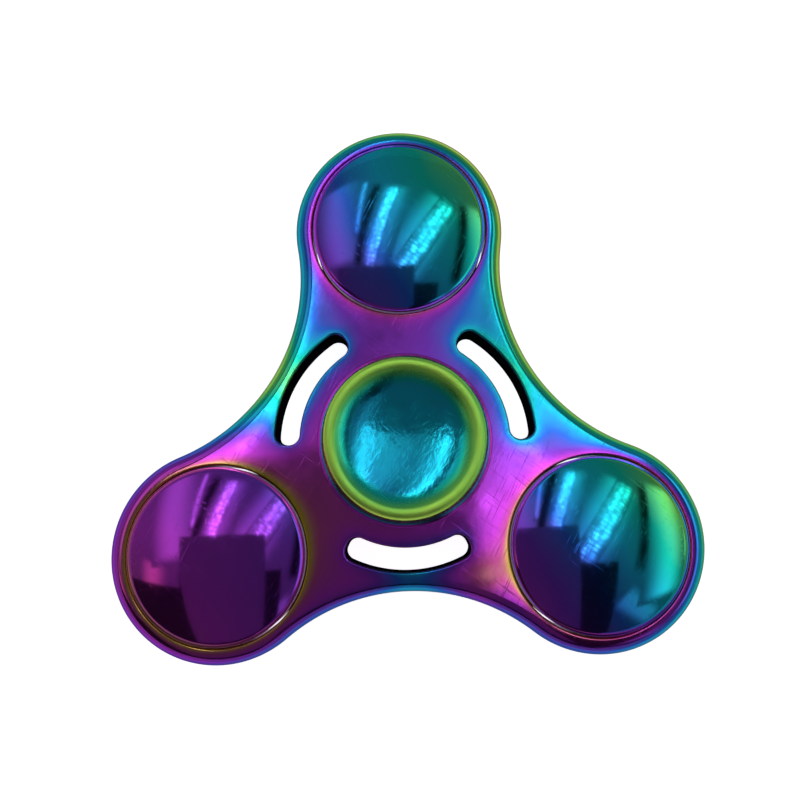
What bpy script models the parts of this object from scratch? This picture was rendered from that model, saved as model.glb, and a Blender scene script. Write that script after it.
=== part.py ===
"""Three-lobed metal fidget spinner, modelled as the assembly of its separate pieces.

The spin axis is Z and the bearing's centre is the origin. One lobe points along +Y.
The finger caps and the bearing's inner ring are held between finger and thumb; everything
else turns round them. Dimensions are in millimetres and become metres in the mesh helpers.
"""

import math

import bmesh
import bpy
from mathutils import Vector

MM = 0.001

# Body: three round lobes joined by concave waists.
LOBE_COUNT = 3
FIRST_LOBE_DEG = 90.0
LOBE_PITCH = 22.0
LOBE_RADIUS = 10.75
WAIST_DISTANCE = 15.05
BODY_HALF = 2.6
EDGE_INSET = 1.4
EDGE_DROP = 1.3

# Arc-shaped slots between the hub and each waist, narrowest at mid-depth.
SLOT_INNER = 10.8
SLOT_OUTER = 13.0
SLOT_HALF_ANGLE_DEG = 25.5
SLOT_CORNER = 0.95
SLOT_DRAFT = 0.15
SLOT_LIP = 0.2

# Lobe bores, and the domed covers and weights pressed into them.
BORE_RADIUS = 9.0
BORE_LIP = 0.22
PRESS_GAP = 0.15
DOME_RIM_WIDTH = 0.25
DOME_RIM_TOP = 2.85
DOME_RISE = 1.7
DOME_WALL = 0.8
DOME_SKIRT_WALL = 0.8
WEIGHT_HALF = 1.3
WEIGHT_CHAMFER = 0.25

# Bearing, size R188: 6.35 mm bore, 12.7 mm outside, 4.762 mm wide, ten 1/16 inch balls.
BEARING_BORE = 3.175
BEARING_OUTSIDE = 6.35
BEARING_HALF = 2.381
BALL_COUNT = 10
BALL_RADIUS = 0.794
BALL_PITCH = 4.7625
GROOVE_RADIUS = 0.83
RACE_CLEARANCE = 0.05
INNER_SHOULDER = 4.3
OUTER_SHOULDER = 5.2
SHIELD_SEAT_RADIUS = 5.75
SHIELD_SEAT_Z = 1.75
SHIELD_THICKNESS = 0.2
SNAP_RING_THICKNESS = 0.25
SNAP_RING_WIDTH = 0.4
SNAP_RING_SWEEP_DEG = 345.0
CAGE_INNER = 4.45
CAGE_OUTER = 5.05
CAGE_TOP = 0.35
CAGE_BOTTOM = -1.25
POCKET_RADIUS = 0.86
FIT_GAP = 0.05

# Finger caps, screwed together through the bearing.
CAP_CREST_Z = 6.5
CAP_LAND_INNER = 6.9
CAP_LAND_OUTER = 7.4
CAP_SHOULDER_RADIUS = 8.1
CAP_SHOULDER_DROP = 0.9
CAP_FLANK_RADIUS = 8.35
CAP_FLANGE_RADIUS = 8.75
CAP_FLANGE_THICKNESS = 0.45
CAP_CREASE = 0.12
CAP_BODY_GAP = 0.35
DISH_DEPTH = 1.3
DISH_BOWL_SHARE = 0.6
DISH_WALL_POWER = 8
CAP_RELIEF_RADIUS = 7.9
CAP_RELIEF_Z = 3.7
CAP_SPIGOT_RADIUS = 4.2
STUD_RADIUS = 1.95
STUD_END_Z = -2.3
TAP_DEPTH_Z = 2.5

# How finely round shapes are divided.
BORE_SEGMENTS = 32
DOME_SEGMENTS = 32
CAP_SEGMENTS = 32
RING_SEGMENTS = 24
LOBE_ARC_STEPS = 24
WAIST_ARC_STEPS = 10
SLOT_ARC_STEPS = 8
FILLET_STEPS = 3
LIP_STEPS = 1
GROOVE_STEPS = 6
DOME_STEPS = 4
DISH_STEPS = 5
BALL_SUBDIVISIONS = 2
POCKET_SEGMENTS = 14
SHARP_ANGLE_DEG = 32.0

CUTTER_REACH = 3.0 * BODY_HALF


def lobe_angle(index):
    """Direction of a lobe's centre from the spin axis, in radians."""
    return math.radians(FIRST_LOBE_DEG + index * 360.0 / LOBE_COUNT)


def polar(radius, angle, centre=(0.0, 0.0)):
    return (centre[0] + radius * math.cos(angle), centre[1] + radius * math.sin(angle))


def arc(centre, radius, start, end, steps):
    """Points along an arc from start to end, both in radians and both included."""
    return [polar(radius, start + (end - start) * i / steps, centre) for i in range(steps + 1)]


# ---------------------------------------------------------------- mesh helpers


def mesh_from(name, points, faces):
    """Mesh from points in millimetres, with its faces turned outward."""
    mesh = bpy.data.meshes.new(name)
    mesh.from_pydata([[value * MM for value in point] for point in points], [], faces)
    work = bmesh.new()
    work.from_mesh(mesh)
    bmesh.ops.recalc_face_normals(work, faces=work.faces)
    work.to_mesh(mesh)
    work.free()
    mesh.shade_smooth()
    mesh.set_sharp_from_angle(angle=math.radians(SHARP_ANGLE_DEG))
    return mesh


def turned_mesh(name, profile, segments):
    """Turn a closed (radius, height) profile once round Z; points on Z become one vertex."""
    points = []
    rings = []
    for radius, height in profile:
        count = segments if radius > 0.0 else 1
        rings.append([len(points) + i for i in range(count)])
        points += [polar(radius, 2.0 * math.pi * i / segments) + (height,) for i in range(count)]
    faces = []
    for ring, following in zip(rings, rings[1:] + rings[:1]):
        for i in range(segments):
            j = i + 1
            corners = [ring[i % len(ring)], ring[j % len(ring)]]
            corners += [following[j % len(following)], following[i % len(following)]]
            corners = list(dict.fromkeys(corners))
            if len(corners) > 2:
                faces.append(corners)
    return mesh_from(name, points, faces)


def split_ring_mesh(name, profile, segments, sweep):
    """Turn a closed profile part of the way round Z and close both ends."""
    points = []
    for i in range(segments + 1):
        points += [polar(radius, sweep * i / segments) + (height,) for radius, height in profile]
    size = len(profile)
    faces = [list(range(size)), list(range(segments * size, (segments + 1) * size))]
    for i in range(segments):
        for k in range(size):
            after = (k + 1) % size
            faces.append([i * size + k, i * size + after, (i + 1) * size + after, (i + 1) * size + k])
    return mesh_from(name, points, faces)


def lofted_mesh(name, levels):
    """Join closed outlines of equal length, each a (height, points) pair, and cap both ends."""
    points = []
    for height, outline in levels:
        points += [(x, y, height) for x, y in outline]
    size = len(levels[0][1])
    faces = [list(range(size)), list(range(len(points) - size, len(points)))]
    for level in range(len(levels) - 1):
        base = level * size
        for i in range(size):
            j = (i + 1) % size
            faces.append([base + i, base + j, base + size + j, base + size + i])
    return mesh_from(name, points, faces)


def place(name, mesh, material, parent, location=(0.0, 0.0, 0.0), flipped=False):
    """Add an object; flipped turns it over about X, for the pieces on the rear side."""
    item = bpy.data.objects.new(name, mesh)
    bpy.context.collection.objects.link(item)
    if not mesh.materials:
        mesh.materials.append(material)
    item.location = Vector(location) * MM
    item.rotation_euler = (math.pi if flipped else 0.0, 0.0, 0.0)
    item.parent = parent
    return item


def pivot(name, parent=None, location=(0.0, 0.0, 0.0)):
    """Empty on a joint's axis, which carries the pieces that turn together."""
    item = bpy.data.objects.new(name, None)
    bpy.context.collection.objects.link(item)
    item.location = Vector(location) * MM
    item.parent = parent
    return item


def cut(target, name, mesh, location=(0.0, 0.0, 0.0)):
    """Take a cutter's shape away from the target with a Boolean modifier."""
    cutter = bpy.data.objects.new(name, mesh)
    bpy.context.collection.objects.link(cutter)
    cutter.location = Vector(location) * MM
    cutter.hide_render = True
    cutter.display_type = 'WIRE'
    modifier = target.modifiers.new(name, 'BOOLEAN')
    modifier.operation = 'DIFFERENCE'
    modifier.solver = 'EXACT'
    modifier.object = cutter


# ------------------------------------------------------------------- materials


def metal(name, colour, roughness):
    material = bpy.data.materials.new(name)
    material.use_nodes = True
    shader = material.node_tree.nodes['Principled BSDF']
    shader.inputs['Base Color'].default_value = (*colour, 1.0)
    shader.inputs['Metallic'].default_value = 1.0
    shader.inputs['Roughness'].default_value = roughness
    return material


def violet_coating():
    return metal('violet_coating', (0.25, 0.07, 0.45), 0.16)


def blue_coating():
    return metal('blue_coating', (0.06, 0.12, 0.50), 0.10)


def teal_coating():
    return metal('teal_coating', (0.08, 0.42, 0.45), 0.18)


def bearing_steel():
    return metal('bearing_steel', (0.62, 0.62, 0.63), 0.15)


def cage_steel():
    return metal('cage_steel', (0.50, 0.48, 0.44), 0.35)


def weight_steel():
    return metal('weight_steel', (0.40, 0.40, 0.41), 0.45)


# ------------------------------------------------------------------------ body


def waist_arc_radius():
    """Radius of the concave waist that is tangent to both lobes and passes the waist point."""
    square = LOBE_RADIUS ** 2 - WAIST_DISTANCE ** 2 - LOBE_PITCH ** 2 + LOBE_PITCH * WAIST_DISTANCE
    return square / (2.0 * WAIST_DISTANCE - LOBE_PITCH - 2.0 * LOBE_RADIUS)


def body_outline(inset):
    """The body's outline moved inward: lobe arcs shrink, waist arcs grow, centres stay."""
    half_turn = math.pi / LOBE_COUNT
    waist_radius = waist_arc_radius()
    waist_pitch = WAIST_DISTANCE + waist_radius
    points = []
    for index in range(LOBE_COUNT):
        facing = lobe_angle(index)
        lobe = polar(LOBE_PITCH, facing)
        waist = polar(waist_pitch, facing + half_turn)
        tangent = math.atan2(waist[1] - lobe[1], waist[0] - lobe[0])
        lobe_span = (tangent - facing) % (2.0 * math.pi)
        waist_span = lobe_span - half_turn
        inward = facing + half_turn + math.pi
        points += arc(lobe, LOBE_RADIUS - inset, facing - lobe_span, facing + lobe_span, LOBE_ARC_STEPS)[:-1]
        points += arc(waist, waist_radius + inset, inward + waist_span, inward - waist_span,
                      WAIST_ARC_STEPS)[:-1]
    return points


def body_levels():
    """Outlines from the rear face to the front face, rounded over towards both."""
    upper = []
    for i in range(FILLET_STEPS + 1):
        turn = 0.5 * math.pi * i / FILLET_STEPS
        height = BODY_HALF - EDGE_DROP + EDGE_DROP * math.sin(turn)
        upper.append((height, body_outline(EDGE_INSET * (1.0 - math.cos(turn)))))
    lower = [(-height, outline) for height, outline in reversed(upper)]
    return lower + upper


def lip_levels(lip):
    """(height, growth) pairs that round over a hole's edge just below the front face."""
    levels = []
    for i in range(LIP_STEPS + 1):
        turn = 0.5 * math.pi * i / LIP_STEPS
        levels.append((BODY_HALF - lip + lip * math.sin(turn), lip * (1.0 - math.cos(turn))))
    return levels + [(CUTTER_REACH, lip)]


def slot_outline(growth):
    """A slot facing +X: two concentric arcs with rounded corners, grown outward."""
    half = math.radians(SLOT_HALF_ANGLE_DEG)
    corner = SLOT_CORNER + growth
    quarter = 0.5 * math.pi
    outer_right = polar(SLOT_OUTER - SLOT_CORNER, half)
    inner_right = polar(SLOT_INNER + SLOT_CORNER, half)
    inner_left = polar(SLOT_INNER + SLOT_CORNER, -half)
    outer_left = polar(SLOT_OUTER - SLOT_CORNER, -half)
    points = arc((0.0, 0.0), SLOT_OUTER + growth, -half, half, SLOT_ARC_STEPS)[:-1]
    points += arc(outer_right, corner, half, half + quarter, FILLET_STEPS)
    points += arc(inner_right, corner, half + quarter, half + 2.0 * quarter, FILLET_STEPS)[:-1]
    points += arc((0.0, 0.0), SLOT_INNER - growth, half, -half, SLOT_ARC_STEPS)[:-1]
    points += arc(inner_left, corner, -half + 2.0 * quarter, -half + 3.0 * quarter, FILLET_STEPS)
    points += arc(outer_left, corner, -half - quarter, -half, FILLET_STEPS)[:-1]
    return points


def slot_cutter_mesh(facing):
    """Slot cutter turned to face a waist, drafted from mid-depth and flared at both faces."""
    upper = [(height, SLOT_DRAFT + growth) for height, growth in lip_levels(SLOT_LIP)]
    growths = [(-height, growth) for height, growth in reversed(upper)] + [(0.0, 0.0)] + upper
    levels = []
    for height, growth in growths:
        turned = []
        for x, y in slot_outline(growth):
            turned.append(polar(math.hypot(x, y), math.atan2(y, x) + facing))
        levels.append((height, turned))
    return lofted_mesh('slot_cutter', levels)


def bore_cutter_mesh(name, bore_radius):
    """Straight bore with a lip cut back at both faces."""
    upper = [(bore_radius + growth, height) for height, growth in lip_levels(BORE_LIP)]
    lower = [(radius, -height) for radius, height in reversed(upper)]
    profile = [(0.0, -CUTTER_REACH)] + lower + upper + [(0.0, CUTTER_REACH)]
    return turned_mesh(name, profile, BORE_SEGMENTS)


def build_body(parent):
    body = place('body_frame', lofted_mesh('body_frame', body_levels()), violet_coating(), parent)
    cut(body, 'bearing_seat_cutter', bore_cutter_mesh('bearing_seat_cutter', BEARING_OUTSIDE + FIT_GAP))
    bore = bore_cutter_mesh('bore_cutter', BORE_RADIUS)
    for index in range(LOBE_COUNT):
        centre = polar(LOBE_PITCH, lobe_angle(index))
        cut(body, 'bore_cutter_{}'.format(index + 1), bore, (*centre, 0.0))
        waist_facing = lobe_angle(index) + math.pi / LOBE_COUNT
        cut(body, 'slot_cutter_{}'.format(index + 1), slot_cutter_mesh(waist_facing))


# -------------------------------------------------------- lobe covers, weights


def dome_mesh():
    """Pressed cover: shallow dome, flat rim ring and a skirt that grips the bore."""
    outer = BORE_RADIUS - PRESS_GAP
    edge = outer - DOME_RIM_WIDTH
    sphere = (edge ** 2 + DOME_RISE ** 2) / (2.0 * DOME_RISE)
    centre_z = DOME_RIM_TOP + DOME_RISE - sphere
    spread = math.asin(edge / sphere)
    top = [(height, radius) for height, radius in arc((centre_z, 0.0), sphere, 0.0, spread, DOME_STEPS)]
    outside = [(radius, height) for height, radius in top]
    inside_edge = outer - DOME_SKIRT_WALL
    inside_spread = math.asin(inside_edge / (sphere - DOME_WALL))
    under = arc((centre_z, 0.0), sphere - DOME_WALL, inside_spread, 0.0, DOME_STEPS // 2)
    inside = [(radius, height) for height, radius in under]
    inside[-1] = (0.0, inside[-1][1])
    foot = WEIGHT_HALF + PRESS_GAP
    rim = [(outer, DOME_RIM_TOP), (outer, foot), (inside_edge, foot)]
    return turned_mesh('dome_cover', outside + rim + inside, DOME_SEGMENTS)


def weight_mesh():
    """Solid steel slug that sits between the two covers of a lobe."""
    radius = BORE_RADIUS - PRESS_GAP
    inner = radius - WEIGHT_CHAMFER
    shoulder = WEIGHT_HALF - WEIGHT_CHAMFER
    profile = [(0.0, WEIGHT_HALF), (inner, WEIGHT_HALF), (radius, shoulder)]
    profile += [(radius, -shoulder), (inner, -WEIGHT_HALF), (0.0, -WEIGHT_HALF)]
    return turned_mesh('lobe_weight', profile, DOME_SEGMENTS)


def build_lobes(parent):
    dome = dome_mesh()
    weight = weight_mesh()
    coating = blue_coating()
    steel = weight_steel()
    for index, where in enumerate(('top', 'lower_left', 'lower_right')):
        centre = (*polar(LOBE_PITCH, lobe_angle(index)), 0.0)
        place('dome_{}_front'.format(where), dome, coating, parent, centre)
        place('dome_{}_rear'.format(where), dome, coating, parent, centre, flipped=True)
        place('weight_{}'.format(where), weight, steel, parent, centre)


# --------------------------------------------------------------------- bearing


def groove(centre_radius, shoulder, side):
    """Ball groove cut into a ring, from below to above; side is -1 inward, +1 outward."""
    reach = math.acos(abs(shoulder - centre_radius) / GROOVE_RADIUS)
    middle = 0.0 if side > 0 else math.pi
    return arc((centre_radius, 0.0), GROOVE_RADIUS, middle - side * reach, middle + side * reach,
               GROOVE_STEPS)


def inner_ring_mesh():
    centre_radius = BALL_PITCH - BALL_RADIUS - RACE_CLEARANCE + GROOVE_RADIUS
    profile = [(BEARING_BORE, -BEARING_HALF), (INNER_SHOULDER, -BEARING_HALF)]
    profile += groove(centre_radius, INNER_SHOULDER, -1)
    profile += [(INNER_SHOULDER, BEARING_HALF), (BEARING_BORE, BEARING_HALF)]
    return turned_mesh('bearing_inner_ring', profile, RING_SEGMENTS)


def outer_ring_mesh():
    centre_radius = BALL_PITCH + BALL_RADIUS + RACE_CLEARANCE - GROOVE_RADIUS
    profile = [(BEARING_OUTSIDE, -BEARING_HALF), (SHIELD_SEAT_RADIUS, -BEARING_HALF)]
    profile += [(SHIELD_SEAT_RADIUS, -SHIELD_SEAT_Z), (OUTER_SHOULDER, -SHIELD_SEAT_Z)]
    profile += groove(centre_radius, OUTER_SHOULDER, 1)
    profile += [(OUTER_SHOULDER, SHIELD_SEAT_Z), (SHIELD_SEAT_RADIUS, SHIELD_SEAT_Z)]
    profile += [(SHIELD_SEAT_RADIUS, BEARING_HALF), (BEARING_OUTSIDE, BEARING_HALF)]
    return turned_mesh('bearing_outer_ring', profile, BORE_SEGMENTS)


def rectangle(inner, outer, bottom, top):
    return [(inner, bottom), (outer, bottom), (outer, top), (inner, top)]


def shield_mesh():
    bottom = SHIELD_SEAT_Z + FIT_GAP
    inner = INNER_SHOULDER + 2.0 * FIT_GAP
    profile = rectangle(inner, SHIELD_SEAT_RADIUS - FIT_GAP, bottom, bottom + SHIELD_THICKNESS)
    return turned_mesh('bearing_shield', profile, RING_SEGMENTS)


def snap_ring_mesh():
    """Split wire ring that holds a shield in the outer ring."""
    bottom = SHIELD_SEAT_Z + SHIELD_THICKNESS + 2.0 * FIT_GAP
    outer = SHIELD_SEAT_RADIUS - FIT_GAP
    profile = rectangle(outer - SNAP_RING_WIDTH, outer, bottom, bottom + SNAP_RING_THICKNESS)
    return split_ring_mesh('shield_snap_ring', profile, RING_SEGMENTS, math.radians(SNAP_RING_SWEEP_DEG))


def ball_angle(index):
    return 2.0 * math.pi * index / BALL_COUNT


def pocket_cutter_mesh():
    """One short cylinder for each ball, lying along the ball's radius."""
    points = []
    faces = []
    near = CAGE_INNER - 2.0 * FIT_GAP
    far = CAGE_OUTER + 2.0 * FIT_GAP
    for index in range(BALL_COUNT):
        base = len(points)
        facing = ball_angle(index)
        for reach in (near, far):
            middle = polar(reach, facing)
            for i in range(POCKET_SEGMENTS):
                across, up = polar(POCKET_RADIUS, 2.0 * math.pi * i / POCKET_SEGMENTS)
                points.append(polar(across, facing + 0.5 * math.pi, middle) + (up,))
        near_ring = [base + i for i in range(POCKET_SEGMENTS)]
        far_ring = [corner + POCKET_SEGMENTS for corner in near_ring]
        faces += [near_ring, far_ring]
        for i in range(POCKET_SEGMENTS):
            j = (i + 1) % POCKET_SEGMENTS
            faces.append([near_ring[i], near_ring[j], far_ring[j], far_ring[i]])
    return mesh_from('pocket_cutter', points, faces)


def ball_mesh():
    mesh = bpy.data.meshes.new('bearing_ball')
    work = bmesh.new()
    bmesh.ops.create_icosphere(work, subdivisions=BALL_SUBDIVISIONS, radius=BALL_RADIUS * MM)
    work.to_mesh(mesh)
    work.free()
    mesh.shade_smooth()
    return mesh


def build_bearing(hub, rotor, cage_pivot):
    steel = bearing_steel()
    place('bearing_inner_ring', inner_ring_mesh(), steel, hub)
    place('bearing_outer_ring', outer_ring_mesh(), steel, rotor)
    shield = shield_mesh()
    snap_ring = snap_ring_mesh()
    for side, flipped in (('front', False), ('rear', True)):
        place('bearing_shield_{}'.format(side), shield, steel, rotor, flipped=flipped)
        place('shield_snap_ring_{}'.format(side), snap_ring, steel, rotor, flipped=flipped)
    cage_profile = rectangle(CAGE_INNER, CAGE_OUTER, CAGE_BOTTOM, CAGE_TOP)
    cage_blank = turned_mesh('bearing_cage', cage_profile, BORE_SEGMENTS)
    cage = place('bearing_cage', cage_blank, cage_steel(), cage_pivot)
    cut(cage, 'pocket_cutter', pocket_cutter_mesh())
    ball = ball_mesh()
    for index in range(BALL_COUNT):
        centre = (*polar(BALL_PITCH, ball_angle(index)), 0.0)
        place('bearing_ball_{:02d}'.format(index + 1), ball, steel, cage_pivot, centre)


# ----------------------------------------------------------------- finger caps


def dish_height(radius):
    """Height of the finger dish: a shallow bowl that turns up into the rim."""
    share = radius / CAP_LAND_INNER
    bowl = DISH_BOWL_SHARE * share ** 2
    wall = (1.0 - DISH_BOWL_SHARE) * share ** DISH_WALL_POWER
    return CAP_CREST_Z - DISH_DEPTH * (1.0 - bowl - wall)


def cap_outside():
    """Finger cap from the dish's centre over the rim and down to the flange's underside."""
    profile = []
    for i in range(DISH_STEPS + 1):
        radius = CAP_LAND_INNER * i / DISH_STEPS
        profile.append((radius, dish_height(radius)))
    for i in range(FILLET_STEPS + 1):
        turn = 0.5 * math.pi * i / FILLET_STEPS
        radius = CAP_LAND_OUTER + (CAP_SHOULDER_RADIUS - CAP_LAND_OUTER) * math.sin(turn)
        profile.append((radius, CAP_CREST_Z - CAP_SHOULDER_DROP * (1.0 - math.cos(turn))))
    flange_bottom = BODY_HALF + CAP_BODY_GAP
    flange_top = flange_bottom + CAP_FLANGE_THICKNESS
    profile.append((CAP_FLANK_RADIUS, flange_top + CAP_CREASE))
    profile.append((CAP_FLANK_RADIUS - CAP_CREASE, flange_top))
    profile.append((CAP_FLANGE_RADIUS, flange_top - CAP_CREASE))
    profile.append((CAP_FLANGE_RADIUS, flange_bottom))
    return profile


def cap_underside():
    """Relief under the flange, the spigot onto the inner ring and the boss in its bore."""
    seat_z = BEARING_HALF + FIT_GAP
    boss = BEARING_BORE - FIT_GAP
    profile = [(CAP_RELIEF_RADIUS, BODY_HALF + CAP_BODY_GAP), (CAP_RELIEF_RADIUS, CAP_RELIEF_Z)]
    profile += [(CAP_SPIGOT_RADIUS, CAP_RELIEF_Z), (CAP_SPIGOT_RADIUS, seat_z), (boss, seat_z)]
    return profile + [(boss, 0.5 * FIT_GAP)]


def build_caps(parent):
    coating = teal_coating()
    shell = cap_outside() + cap_underside()
    boss_end = 0.5 * FIT_GAP
    stud = [(STUD_RADIUS, boss_end), (STUD_RADIUS, STUD_END_Z), (0.0, STUD_END_Z)]
    tapped = [(STUD_RADIUS + FIT_GAP, boss_end), (STUD_RADIUS + FIT_GAP, TAP_DEPTH_Z), (0.0, TAP_DEPTH_Z)]
    front = turned_mesh('finger_cap_front', shell + stud, CAP_SEGMENTS)
    rear = turned_mesh('finger_cap_rear', shell + tapped, CAP_SEGMENTS)
    place('finger_cap_front', front, coating, parent)
    place('finger_cap_rear', rear, coating, parent, flipped=True)


# -------------------------------------------------------------------- assembly


def clear_scene():
    for item in list(bpy.data.objects):
        bpy.data.objects.remove(item)


def main():
    clear_scene()
    hub = pivot('hub')
    rotor = pivot('rotor', hub)
    cage_pivot = pivot('cage_carrier', hub)
    build_body(rotor)
    build_lobes(rotor)
    build_bearing(hub, rotor, cage_pivot)
    build_caps(hub)


main()
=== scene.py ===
"""Looks for the three-lobed fidget spinner: mirror-polished metal under a rainbow vapour coating.

The body, the six domed covers and the two finger caps are remade as fine smooth meshes on the
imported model's dimensions. The bearing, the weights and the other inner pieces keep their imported
meshes. Lengths are in millimetres until they enter a mesh.
"""

import math

import bpy
from mathutils import Euler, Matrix, Vector, geometry, kdtree


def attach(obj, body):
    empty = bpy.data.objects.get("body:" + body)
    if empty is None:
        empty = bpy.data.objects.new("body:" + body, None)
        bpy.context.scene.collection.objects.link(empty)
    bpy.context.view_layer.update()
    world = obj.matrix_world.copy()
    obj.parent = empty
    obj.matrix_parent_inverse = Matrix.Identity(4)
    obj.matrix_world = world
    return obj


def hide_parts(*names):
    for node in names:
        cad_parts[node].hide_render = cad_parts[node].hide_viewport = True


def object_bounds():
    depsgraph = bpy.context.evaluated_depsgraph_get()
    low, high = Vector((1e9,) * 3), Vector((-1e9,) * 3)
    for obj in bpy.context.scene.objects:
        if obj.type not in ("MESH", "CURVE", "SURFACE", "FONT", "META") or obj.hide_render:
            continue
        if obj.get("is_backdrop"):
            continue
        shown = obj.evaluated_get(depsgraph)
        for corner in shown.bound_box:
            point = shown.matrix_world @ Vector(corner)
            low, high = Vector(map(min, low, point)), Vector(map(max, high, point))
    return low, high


MM = 0.001

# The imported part's driving dimensions.
LOBE_COUNT = 3
FIRST_LOBE_DEG = 90.0
LOBE_PITCH = 22.0
LOBE_RADIUS = 10.75
WAIST_DISTANCE = 15.05
BODY_HALF = 2.6
EDGE_INSET = 1.4
EDGE_DROP = 1.3
SLOT_INNER = 10.8
SLOT_OUTER = 13.0
SLOT_HALF_ANGLE_DEG = 25.5
SLOT_CORNER = 0.95
SLOT_DRAFT = 0.15
SLOT_LIP = 0.2
BORE_RADIUS = 9.0
BORE_LIP = 0.22
HUB_BORE_RADIUS = 6.4
DOME_RADIUS = 8.85
DOME_RIM_WIDTH = 0.25
DOME_RIM_TOP = 2.85
DOME_RISE = 1.7
DOME_WALL = 0.8
DOME_FOOT = 1.45
CAP_CREST_Z = 6.5
CAP_LAND_INNER = 6.9
CAP_LAND_OUTER = 7.4
CAP_SHOULDER_RADIUS = 8.1
CAP_SHOULDER_DROP = 0.9
CAP_FLANK_RADIUS = 8.35
CAP_FLANGE_RADIUS = 8.75
CAP_FLANGE_TOP = 3.4
CAP_FLANGE_BOTTOM = 2.95
CAP_CREASE = 0.12
DISH_DEPTH = 1.3
DISH_BOWL_SHARE = 0.6
DISH_WALL_POWER = 8
CAP_RELIEF_RADIUS = 7.9
CAP_RELIEF_Z = 3.7
CAP_SPIGOT_RADIUS = 4.2
CAP_SEAT_Z = 2.431
CAP_BOSS_RADIUS = 3.125
CAP_BOSS_END = 0.025
STUD_RADIUS = 1.95
STUD_END_Z = -2.3
TAPPED_RADIUS = 2.0
TAPPED_END_Z = 2.5

# The faces fall away a little towards the body's edge, as a polished casting does.
CROWN_SHARE = 0.07
CROWN_REACH = 2.6

# Divisions of the fine meshes.
LOBE_ARC_STEPS = 96
WAIST_ARC_STEPS = 40
SLOT_ARC_STEPS = 40
SLOT_CORNER_STEPS = 10
FILLET_STEPS = 10
LIP_STEPS = 4
BORE_SEGMENTS = 144
TURNED_SEGMENTS = 160
GRID_PITCH = 0.75
GRID_CLEARANCE = 0.45

# Camera: close above the spinner, tipped a little.
CAMERA_PLACE = (-0.44, -6.97, 94.1)
CAMERA_TURN_DEG = (6.84, 0.06, -1.61)
CAMERA_SENSOR = 36.0
CAMERA_LENS = 41.03
CAMERA_SHIFT = (-0.002, 0.0009)

QUARTER = 0.5 * math.pi
FULL = 2.0 * math.pi

# A distance beyond every feature, for points that no slot is near.
FAR = 100.0
# A profile point no further out than this is on the axis.
ON_AXIS = 1e-6
# Share of the depth down the side wall that counts as distance outside the outline.
WALL_SHARE = 0.3

# Colours that the coating passes through as it thickens, in linear light.
RAINBOW = (
    (0.00, (0.62, 0.52, 0.03)),
    (0.10, (0.70, 0.36, 0.16)),
    (0.20, (0.62, 0.10, 0.35)),
    (0.32, (0.62, 0.06, 0.74)),
    (0.44, (0.26, 0.06, 0.70)),
    (0.54, (0.04, 0.18, 0.85)),
    (0.64, (0.02, 0.58, 0.88)),
    (0.74, (0.01, 0.62, 0.46)),
    (0.82, (0.14, 0.74, 0.18)),
    (0.90, (0.50, 1.00, 0.14)),
    (0.97, (0.78, 0.86, 0.16)),
    (1.00, (0.92, 0.68, 0.20)),
)

# The coating is thicker on slopes that face this way.
TINT_DIRECTION = (math.cos(math.radians(30.0)), math.sin(math.radians(30.0)), 0.0)
# How fast it thickens across the body, per metre along x and y.
BODY_DRIFT = (7.2, 8.0, 0.0)
# Patches where it is thicker or thinner: place and reach in millimetres, and by how much. The first, on the
# left arm, is partly colour drift and partly a painted highlight that lifts the colour to a bright
# cyan-blue.
BODY_PATCHES_AND_HIGHLIGHT = (
    ((-16.0, 8.0), 6.0, 0.40),
    ((0.0, -14.5), 3.2, 0.10),
    ((7.4, -13.8), 2.8, -0.20),
)
# Its place on the colour scale mid-body, the least the drift can add, and what a slope adds.
BODY_THICKNESS = 0.33
LEAST_DRIFT = -0.13
BODY_TILT = 0.09
# Extra thickness at the outline, over the shoulder, at a slot's lip and at a bore's lip.
OUTLINE_THICKNESS = 0.24
OUTLINE_REACH = 0.8
SHOULDER_THICKNESS = 0.17
SHOULDER_REACH = 3.5
SLOT_THICKNESS = 0.16
SLOT_REACH = 0.7
BORE_THICKNESS = -0.34
BORE_REACH = 0.6
# Furthest outside the outline that still changes the colour.
WALL_LIMIT = -0.12

# Each cover's thickness on top and what its slope adds; its rim differs by this over these radii.
COVER_TINTS = {'top': (0.62, 0.5), 'lower_left': (0.37, 0.25), 'lower_right': (0.60, 0.62)}
COVER_RIM_BAND = (8.5, 8.62)
COVER_RIM_THICKNESS = -0.16

# The cap's thickness in the dish, and what its slope, its rim and its flange add over these radii.
CAP_THICKNESS = 0.65
CAP_TILT = -0.07
CAP_RIM_BAND = (5.3, 7.1)
CAP_RIM_THICKNESS = 0.25
CAP_FLANGE_BAND = (8.3, 8.5)
CAP_FLANGE_THICKNESS = -0.60
# Roughness added by wear on the cap's rim, and the radii where it comes and goes.
CAP_WEAR = 0.26
CAP_WEAR_STARTS = (5.5, 7.0)
CAP_WEAR_ENDS = (7.6, 8.1)
CAP_WEAR_LEFT = 0.2

# Depth of the fine scratches, in metres.
SCRATCH_DEPTH = 1e-6

# Stage, in millimetres: a flat disc, a curve, and a low wall.
FLOOR_FLAT_RADIUS = 450.0
FLOOR_CURVE = 150.0
FLOOR_WALL_TOP = 330.0
FLOOR_SEGMENTS = 96
CEILING_HEIGHT = 2000.0
FLAG_HEIGHT = 1900.0
CARD_HEIGHT = 95.0
SCREEN_HEIGHT = 250.0

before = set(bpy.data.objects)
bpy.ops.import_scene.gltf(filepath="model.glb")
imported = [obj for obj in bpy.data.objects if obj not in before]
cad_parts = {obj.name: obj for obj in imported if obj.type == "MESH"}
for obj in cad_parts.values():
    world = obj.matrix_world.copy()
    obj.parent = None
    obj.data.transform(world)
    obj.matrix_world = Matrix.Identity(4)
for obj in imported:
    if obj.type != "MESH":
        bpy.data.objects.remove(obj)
CAD_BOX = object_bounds()


# ------------------------------------------------------------- plane geometry


def lobe_angle(index):
    return math.radians(FIRST_LOBE_DEG + index * 360.0 / LOBE_COUNT)


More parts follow.
